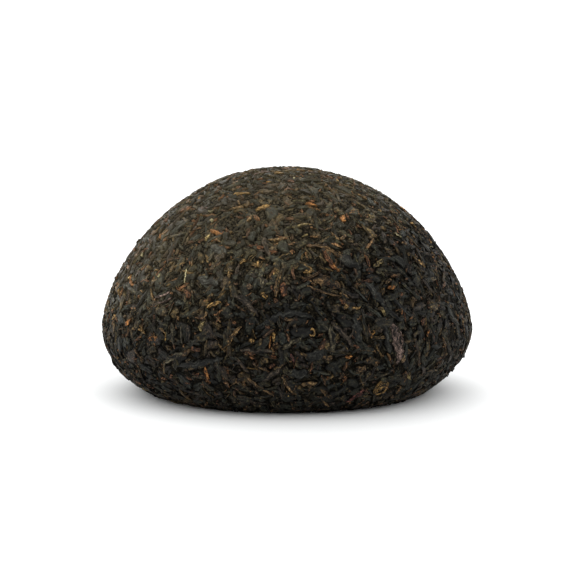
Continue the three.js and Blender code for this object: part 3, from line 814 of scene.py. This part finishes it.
# Where a leaf lies in the photo in pixels, then its length and width in millimetres, its turn from
# level in degrees, and its bow as a share of its length.
SPOTS = {
    "straw": [
        (186, 276, 3.8, 0.55, 84, 0), (160, 276, 1.3, 0.7, 70, 0), (211, 212, 2.0, 0.5, 10, 0.3),
        (212, 221, 1.1, 1.0, 0, 0), (294, 179, 1.3, 0.5, 85, 0), (431, 248, 1.1, 0.6, -45, 0),
        (143, 255, 1.3, 0.5, 75, 0), (397, 236, 2.2, 0.6, -38, 0.05),
    ],
    "gold": [
        (120, 292, 2.7, 0.5, 84, 0), (115, 318, 2.0, 1.2, 20, 0.2), (143, 329, 3.3, 0.7, -62, 0),
        (141, 330, 2.2, 0.5, -28, 0), (214, 305, 3.7, 1.2, 16, 0), (264, 296, 2.1, 1.1, -52, 0),
        (252, 341, 1.4, 1.2, 0, 0), (381, 387, 1.7, 1.5, 30, 0), (274, 337, 2.2, 1.0, 80, 0),
        (308, 272, 2.2, 1.2, 30, 0.1),
        (345, 307, 1.4, 1.3, 80, 0), (356, 308, 2.4, 1.1, 8, 0.05), (242, 194, 4.0, 1.1, 6, -0.08),
        (263, 208, 3.4, 1.1, 16, -0.1), (278, 174, 2.6, 0.9, 0, 0), (419, 263, 4.4, 1.4, -33, 0),
        (430, 243, 1.3, 0.8, -30, 0), (413, 237, 1.3, 0.8, -60, 0), (157, 271, 1.6, 0.6, 10, 0),
        (413, 226, 2.4, 1.3, -40, 0), (258, 264, 1.8, 0.7, 82, 0), (243, 262, 2.0, 0.8, 30, 0),
    ],
    "orange": [
        (129, 322, 2.7, 1.4, 50, 0), (154, 339, 3.2, 1.5, -14, 0.05), (108, 346, 4.6, 0.8, -76, 0),
        (120, 350, 1.2, 0.8, -30, 0), (207, 374, 4.4, 0.9, -68, 0.06), (270, 343, 3.3, 0.55, 80, 0),
        (391, 288, 2.5, 1.2, 14, 0), (427, 333, 2.0, 0.8, 82, 0), (348, 357, 2.0, 0.8, 6, 0.05),
        (161, 237, 2.0, 0.8, 86, 0), (217, 233, 3.9, 1.2, -24, 0), (334, 268, 3.0, 1.1, -42, 0.1),
        (343, 219, 2.8, 1.5, 78, 0), (311, 205, 2.6, 1.0, -8, -0.1), (132, 283, 5.2, 1.0, -66, 0.14),
    ],
    "rust": [
        (188, 294, 2.7, 1.5, -62, 0), (284, 290, 3.4, 1.7, 84, 0.05), (272, 366, 1.7, 1.0, 20, 0),
        (273, 357, 1.8, 1.0, -25, 0), (422, 322, 2.1, 1.2, 80, 0), (185, 210, 3.0, 1.7, 20, 0),
        (166, 221, 2.6, 1.2, -14, 0), (147, 250, 1.9, 0.9, 0, 0.1), (260, 248, 1.9, 1.0, 0, 0),
        (273, 252, 2.1, 0.7, -8, 0), (197, 374, 1.6, 0.9, 30, 0), (172, 376, 1.7, 1.0, 60, 0),
        (165, 378, 1.9, 0.6, -15, 0), (328, 260, 5.6, 1.2, -60, 0.04), (188, 382, 1.8, 0.9, 10, 0),
    ],
    "red": [(293, 358, 2.3, 0.7, -66, 0), (355, 396, 5.0, 0.8, 25, 0), (359, 392, 3.6, 0.6, 27, 0)],
    "tan": [
        (163, 331, 2.6, 0.6, -48, 0), (105, 311, 1.6, 1.0, 70, 0),
        (219, 320, 2.3, 0.45, -48, 0), (206, 316, 2.0, 0.9, 85, 0), (234, 335, 5.2, 1.1, 56, -0.1),
        (226, 347, 2.6, 0.5, 38, 0), (277, 285, 5.8, 1.1, 80, -0.08), (262, 368, 3.6, 0.6, -26, 0),
        (288, 386, 6.4, 0.9, -52, 0.03), (309, 383, 3.7, 1.3, 2, 0), (235, 382, 2.8, 0.45, 52, 0.15),
        (388, 282, 2.2, 0.9, 25, 0), (402, 358, 2.4, 1.5, -75, 0), (368, 359, 1.3, 1.0, 40, 0),
        (325, 402, 4.0, 0.7, -47, 0), (462, 324, 4.0, 0.8, -86, 0), (217, 240, 3.0, 0.6, -25, 0),
        (193, 262, 2.7, 0.5, 84, 0.1), (236, 209, 3.6, 0.7, 8, 0), (239, 203, 1.9, 0.7, -76, 0),
        (250, 219, 2.4, 0.9, 42, 0), (279, 240, 4.7, 0.8, 8, 0.1), (335, 237, 2.9, 0.7, -38, 0),
        (300, 171, 2.2, 0.8, -5, 0), (243, 177, 2.2, 0.9, 8, 0), (444, 261, 5.0, 0.5, -58, 0),
        (362, 198, 3.2, 0.6, -30, 0.1), (465, 303, 3.4, 0.9, -80, 0), (344, 296, 2.5, 0.8, -30, 0),
    ],
    "brown": [
        (327, 283, 6.4, 2.6, -16, 0), (324, 293, 8.0, 0.8, -18, 0.06), (318, 247, 5.2, 0.8, -4, 0),
        (333, 253, 5.2, 1.1, -30, 0), (259, 386, 8.2, 1.1, -32, 0), (326, 393, 4.8, 1.2, -46, 0),
        (327, 357, 2.4, 1.6, 20, 0), (361, 368, 2.8, 1.8, -10, 0), (421, 388, 3.6, 0.7, 30, 0),
        (155, 233, 3.2, 1.2, 10, 0), (186, 353, 3.4, 1.4, 28, 0), (444, 347, 5.6, 0.9, -88, 0),
        (139, 354, 3.4, 0.7, -60, 0), (404, 244, 2.4, 1.7, 30, 0), (343, 238, 2.2, 1.0, 30, 0),
        (286, 319, 3.4, 0.9, -12, 0.05),
    ],
    "plum": [
        (397, 344, 9.4, 2.7, -82, 0.02), (401, 338, 5.0, 0.9, -82, -0.12),
        (163, 296, 4.4, 0.7, 20, 0.1), (165, 302, 4.2, 0.6, 20, 0.1), (262, 174, 4.2, 0.8, 12, 0),
        (204, 209, 2.6, 0.8, 4, 0),
    ],
    "lime": [
        (203, 326, 2.6, 1.6, 62, 0), (382, 312, 2.6, 0.8, -68, 0.05), (300, 226, 3.9, 0.7, 13, 0),
        (305, 236, 1.7, 0.5, 20, 0), (409, 375, 2.7, 1.4, -72, 0), (378, 264, 4.2, 1.1, 42, 0),
        (371, 217, 1.8, 1.4, 60, 0),
    ],
    "olive": [
        (262, 281, 4.4, 1.2, -78, 0), (175, 357, 7.4, 1.6, 27, 0), (332, 339, 6.8, 1.7, -84, -0.04),
        (171, 312, 3.4, 0.4, 70, 0), (168, 305, 4.0, 0.5, 30, 0.08), (173, 334, 5.2, 1.3, 92, 0),
        (293, 342, 6.0, 1.4, 26, 0), (182, 335, 4.4, 0.8, 92, 0), (212, 257, 3.4, 0.7, 62, 0),
    ],
    "umber": [
        (247, 304, 8.0, 1.3, -41, -0.05), (257, 351, 7.6, 1.2, -2, 0), (273, 373, 6.2, 1.5, 42, 0),
        (343, 334, 7.4, 1.2, -50, 0), (189, 333, 3.8, 1.3, 90, 0), (281, 392, 4.4, 0.9, -70, 0),
        (266, 247, 5.4, 1.3, -72, 0), (369, 375, 6.4, 1.0, 48, 0.05),
    ],
    "char": [
        (285, 315, 13.5, 1.8, 12, -0.17), (199, 363, 12.0, 1.7, 11, 0), (375, 294, 6.8, 2.0, -52, 0),
        (393, 315, 6.8, 1.3, -36, 0), (403, 309, 6.4, 1.3, -42, 0), (386, 335, 8.0, 1.6, -82, 0.03),
        (357, 328, 6.4, 2.4, -84, 0), (298, 373, 4.2, 2.6, 5, 0), (208, 281, 5.6, 2.6, -20, 0),
        (219, 250, 5.0, 2.4, -28, 0), (350, 262, 5.6, 3.0, -30, 0), (315, 355, 4.6, 2.4, 20, 0),
    ],
}
# Ends that stick out past the outline of the cake, with the same six numbers.
PROUD = {
    "umber": [
        (137, 240, 1.2, 0.8, 50, 0), (110, 275, 1.0, 0.6, 75, 0), (107, 325, 1.0, 0.5, 80, 0),
        (112, 351, 3.4, 1.3, -68, 0), (117, 364, 3.4, 1.3, -58, 0), (124, 375, 3.2, 1.2, -48, 0),
    ],
    "char": [(466, 357, 1.4, 0.9, -70, 0), (454, 371, 1.4, 0.8, -50, 0), (448, 376, 0.9, 0.6, -40, 0)],
}
# Curled leaves: where, then radius and width in millimetres, and how many turns.
COILS = {
    "gold": [(312, 332, 0.5, 0.55, 1.0), (381, 387, 1.3, 0.75, 1.7)],
    "umber": [(430, 294, 1.0, 0.6, 1.0), (347, 327, 1.3, 0.6, 0.6)],
}
SINGLE_TOP = 0.56 * MM
PROUD_TOP = 0.8 * MM
SINGLE_THICKNESS = 0.55 * MM
SECTION_LENGTH = 0.7 * MM
SECTIONS_A_TURN = 12
NARROW = 1.0
MOST_GRAZING = -0.25
ground = BVHTree.FromPolygons(
    [v.co for v in carrier.data.vertices], [p.vertices for p in carrier.data.polygons],
)


def bent_down(leaf, x, y, turn, top):
    """Bends a leaf to the carrier round the place that a pixel shows; its heights stay."""
    ray = (SIGHT * FOCAL_PX + RIGHT * (x - PHOTO_PX / 2) + UP * (PHOTO_PX / 2 - y)).normalized()
    middle, normal, _, _ = ground.ray_cast(EYE, ray)
    if middle is None:
        middle, normal, _, _ = ground.find_nearest(EYE + ray * (AIM - EYE).dot(ray))
    seen = RIGHT * math.cos(turn) + UP * math.sin(turn)
    along = seen - ray * (seen.dot(normal) / min(ray.dot(normal), MOST_GRAZING))
    beside = normal.cross(along).normalized()
    along = beside.cross(normal)
    points, rises = [], []
    for a, b, rise in leaf.points:
        foot, out, _, _ = ground.find_nearest(middle + along * a + beside * b)
        rise += top - SINGLE_THICKNESS
        place = foot + out * rise
        place.z = max(place.z, TABLE_GAP)
        points.append(place)
        rises.append(rise)
    return points, rises


def listed_leaves():
    """A shape for every row of SPOTS, PROUD and COILS, with its tint and its place."""
    leaves = []
    for table, top in ((SPOTS, SINGLE_TOP), (PROUD, PROUD_TOP)):
        for tint, rows in table.items():
            for x, y, length, width, turn, bow in rows:
                form = leaf_form(
                    length * MM, width * MM, SINGLE_THICKNESS, across=3 if width < NARROW else 5,
                    cuts=max(4, round(length * MM / SECTION_LENGTH)), bow=bow, twist=0.4, kink=0.15,
                    tuck=0.6, blunt=0.6, ragged=0.3, lumpy=0.25,
                )
                leaves.append((tint, form, x, y, math.radians(turn), top))
    for tint, rows in COILS.items():
        for x, y, radius, width, turns in rows:
            around = 2 * math.pi * radius * turns
            form = leaf_form(
                around * MM, width * MM, SINGLE_THICKNESS, cuts=round(SECTIONS_A_TURN * turns),
                coil=turns, twist=0, kink=0,
            )
            leaves.append((tint, form, x, y, 0.0, SINGLE_TOP))
    return leaves


def single_leaves(name, leaves):
    """The listed leaves as one piece, each bent to the cake at its place."""
    across = math.ceil((len(leaves) / CELL_SHAPE) ** 0.5)
    down = math.ceil(len(leaves) / across)
    points, faces, corners, cells = [], [], [], []
    values = {"rise": [], "crest": [], "rim": [], "tone": [], "tint": []}
    for k, (tint, form, x, y, turn, top) in enumerate(leaves):
        first = len(points)
        places, rises = bent_down(form, x, y, turn, top)
        points += places
        faces += [tuple(first + c for c in face) for face in form.faces]
        corners += form.corners
        for u, v in form.corners:
            column = k % across + CELL_INSET[0] + (1 - 2 * CELL_INSET[0]) * u
            row = k // across + CELL_INSET[1] + (1 - 2 * CELL_INSET[1]) * v
            cells.append((column / across, row / down))
        values["rise"] += rises
        values["crest"] += form.crests
        values["rim"] += form.rims
        values["tone"] += [RNG.uniform()] * len(places)
        values["tint"] += [TINTS[tint]] * len(places)
    mesh = leaf_mesh(name, Leaf(points, [], [], faces, []), values, {"leaf_map": corners, "OFBake": cells})
    mesh.materials.append(single_finish)
    print(name, len(leaves), "leaves", sum(len(f) - 2 for f in faces), "triangles")
    return shown(name, mesh)


pieces.append(single_leaves("single_leaf", listed_leaves()))
for piece in pieces:
    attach(piece, "root")
    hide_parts(NODE)

# %% [markdown]
# The core. Between the leaves one looks down on broken leaf, too fine and too dark to tell apart. More
# leaves could be laid there, but nobody would see them as leaves. A closed surface just under the
# leaves, with lumps of that size and painted shade in the creases between them, fills every gap.

# %% The core
CORE_FACET = 0.62 * MM
CORE_SINK = 0.44 * MM
CRUMB = 1.2 * MM
CRUMB_RELIEF = 0.3 * MM
FINE_RELIEF = 0.12 * MM
FINE_SPACING = 0.8 * MM


def crumble(place):
    """Relief of packed broken leaf: lumps with creases between them."""
    nearest, second = noise.voronoi(place / CRUMB)[0][:2]
    lumps = CRUMB_RELIEF * (second - nearest)
    return swell(place) + lumps + FINE_RELIEF * noise.noise(place / FINE_SPACING)


core = turned_surface("pressed_core", CORE_FACET, CORE_SINK, crumble)
print("core", len(core.data.polygons), "triangles")

# %% The finish of the core
CRUMBS = 1300.0
CRUMB_DRIFT = 900.0
CRUMB_GRAIN = 1400.0
CRUMB_BEND = 1.5 * MM
FINES_DARK = (0.005, 0.005, 0.004)
FINES_LIGHT = (0.044, 0.035, 0.020)


def fines_finish(name):
    """A material of packed broken leaf: crumbs of several tones, with painted shade in the creases."""
    material, net = new_finish(name)
    place = net.add("ShaderNodeTexCoord", {}, {}, "Object")
    drift = net.cloud(place, CRUMB_DRIFT, 1.0).of("Color")
    cells = {"Vector": net.vector("MULTIPLY_ADD", drift, (CRUMB_BEND,) * 3, place), "Scale": CRUMBS}
    grain = net.cloud(place, CRUMB_GRAIN, 4.0)
    tone = net.add("ShaderNodeTexVoronoi", {"feature": "F1"}, cells, "Color")
    edge = net.add("ShaderNodeTexVoronoi", {"feature": "DISTANCE_TO_EDGE"}, cells)
    ramp = net.add("ShaderNodeValToRGB", {}, {"Fac": grain * 0.6 + tone * 0.5 - 0.1})
    ramp.node.color_ramp.elements[0].color = (*FINES_DARK, 1)
    ramp.node.color_ramp.elements[1].color = (*FINES_LIGHT, 1)
    # Painted shade in the creases between the crumbs.
    crease = net.spread(edge, 0.02, 0.22)
    # Dust and painted top light, as on the leaves: the colour grows lighter towards the top.
    colour = net.vector("SCALE", ramp, scale=crease * (0.6 + dust_and_top_light_mask(net, place) * 2.2))
    relief = {"Strength": 0.8, "Distance": 0.3 * MM, "Height": grain + edge}
    shader = net.add(
        "ShaderNodeBsdfPrincipled", {},
        {
            "Base Color": colour, "Roughness": 0.8, "Normal": net.add("ShaderNodeBump", {}, relief),
            "Specular IOR Level": DULL,
        },
    )
    net.add("ShaderNodeOutputMaterial", {}, {"Surface": shader})
    return material


core.data.materials.append(fines_finish("packed_fines"))
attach(core, "root")
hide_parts(NODE)
bpy.data.objects.remove(carrier)
print("core finish", core.data.materials[0].name)

# %% [markdown]
# The table, the light and the camera. The photo is a product shot on white: light from all round and a
# white table that burns out but for the shadow under the cake. Lamps could stand for it, but a tent of
# white cloth has no edges. So the sky is one, with a soft lobe of light behind the cake, two at the
# upper front and one at either side. Each lobe has a direction, a sharpness and a strength.

# %% Table
TABLE_HALF = 30.0
corners = [(-1, -1), (1, -1), (1, 1), (-1, 1)]
mesh = bpy.data.meshes.new("table")
mesh.from_pydata([(x * TABLE_HALF, y * TABLE_HALF, 0) for x, y in corners], [], [(0, 1, 2, 3)])
table = shown("table", mesh)
white = bpy.data.materials.new("white_table")
white.use_nodes = True
surface = white.node_tree.nodes["Principled BSDF"]
surface.inputs["Base Color"].default_value = (0.93, 0.94, 0.94, 1)
surface.inputs["Roughness"].default_value = 0.9
mesh.materials.append(white)
table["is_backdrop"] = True
print("table", 2 * TABLE_HALF, "m wide")

# %% Light
LOBES = [
    ((-0.15, 0.94, 0.34), 3, 3.3),
    ((-0.45, -0.45, 0.77), 8, 1.6),
    ((0.45, -0.45, 0.77), 8, 1.9),
    ((-0.94, 0.1, 0.34), 8, 1.15),
    ((0.94, 0.15, 0.34), 8, 1.05),
]
GLOW = 0.3
scene = bpy.context.scene
world = bpy.data.worlds.new("white_tent")
scene.world = world
world.use_nodes = True
world.node_tree.nodes.clear()
sky = Net(world.node_tree)
toward = sky.add("ShaderNodeTexCoord", {}, {}, "Generated")
glow = GLOW
for direction, sharpness, strength in LOBES:
    facing = sky.vector("DOT_PRODUCT", toward, Vector(direction).normalized()).of("Value")
    glow = facing.math("MAXIMUM", facing, 0.0).power(sharpness) * strength + glow
lit = sky.add("ShaderNodeBackground", {}, {"Color": (1, 1, 1, 1), "Strength": glow})
sky.add("ShaderNodeOutputWorld", {}, {"Surface": lit})
scene.view_settings.view_transform = "Standard"
scene.view_settings.look = "None"
print("lobes of light", len(LOBES))

# %% Camera
SENSOR = 36.0
camera = bpy.data.objects.new("camera", bpy.data.cameras.new("camera"))
camera.data.sensor_width = SENSOR
camera.data.lens = FOCAL_PX / PHOTO_PX * SENSOR
camera.location = EYE
camera.rotation_mode = "QUATERNION"
camera.rotation_quaternion = SIGHT.to_track_quat("-Z", "Y")
camera.data.clip_start, camera.data.clip_end = 0.01, 50
scene.collection.objects.link(camera)
scene.camera = camera
print("camera lens", round(camera.data.lens, 1), "mm")

# %% Finish
low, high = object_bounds()
print("visual box", [round(v / MM, 2) for v in (*low, *high)], "mm")
